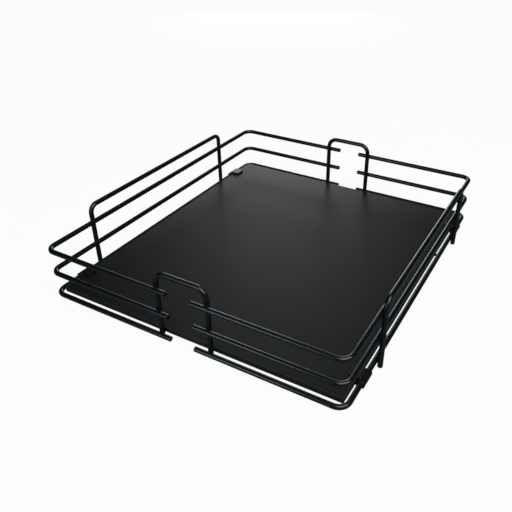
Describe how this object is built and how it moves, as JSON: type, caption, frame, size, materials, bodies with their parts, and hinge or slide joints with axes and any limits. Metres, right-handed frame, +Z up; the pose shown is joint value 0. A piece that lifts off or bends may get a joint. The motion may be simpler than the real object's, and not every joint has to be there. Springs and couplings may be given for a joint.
{
  "type": "pull-out pantry basket",
  "caption": "Rectangular wire basket with a flat base board, gapped side rails, hoops above the rails and turning clips that hold the board down.",
  "frame": {"origin": "under the middle of the basket, level with the ends of the side hoops' legs", "axes": "+X to the right, -Y to the front, +Z up"},
  "size_m": [0.4622, 0.511, 0.1036],
  "materials": {
    "wire_coat": "satin black powder coat",
    "board": "matt charcoal melamine on board",
    "edge_band": "matt charcoal",
    "clip_plastic": "matt black"
  },
  "bodies": {
    "basket": {"bottom_rail_left": "wire_coat", "bottom_rail_right": "wire_coat", "middle_rail_left": "wire_coat", "middle_rail_right": "wire_coat", "top_rail_left": "wire_coat", "top_rail_right": "wire_coat", "front_hoop": "wire_coat", "rear_hoop": "wire_coat", "left_side_hoop": "wire_coat", "right_side_hoop": "wire_coat", "cross_wire_front": "wire_coat", "cross_wire_rear": "wire_coat", "base_board_core": "board", "edge_band_front": "edge_band", "edge_band_rear": "edge_band", "edge_band_left": "edge_band", "edge_band_right": "edge_band"},
    "front_left_clip": {"clip_front_left": "clip_plastic"},
    "front_right_clip": {"clip_front_right": "clip_plastic"},
    "rear_left_clip": {"clip_rear_left": "clip_plastic"},
    "rear_right_clip": {"clip_rear_right": "clip_plastic"}
  },
  "joints": [
    {"name": "front_left_clip_turn", "type": "hinge", "parent": "basket", "child": "front_left_clip", "pos_m": [-0.221, -0.1965, 0.0075], "axis": [0, -1, 0], "range_deg": [0, 100]},
    {"name": "front_right_clip_turn", "type": "hinge", "parent": "basket", "child": "front_right_clip", "pos_m": [0.221, -0.1965, 0.0075], "axis": [0, 1, 0], "range_deg": [0, 100]},
    {"name": "rear_left_clip_turn", "type": "hinge", "parent": "basket", "child": "rear_left_clip", "pos_m": [-0.221, 0.1965, 0.0075], "axis": [0, -1, 0], "range_deg": [0, 100]},
    {"name": "rear_right_clip_turn", "type": "hinge", "parent": "basket", "child": "rear_right_clip", "pos_m": [0.221, 0.1965, 0.0075], "axis": [0, 1, 0], "range_deg": [0, 100]}
  ]
}
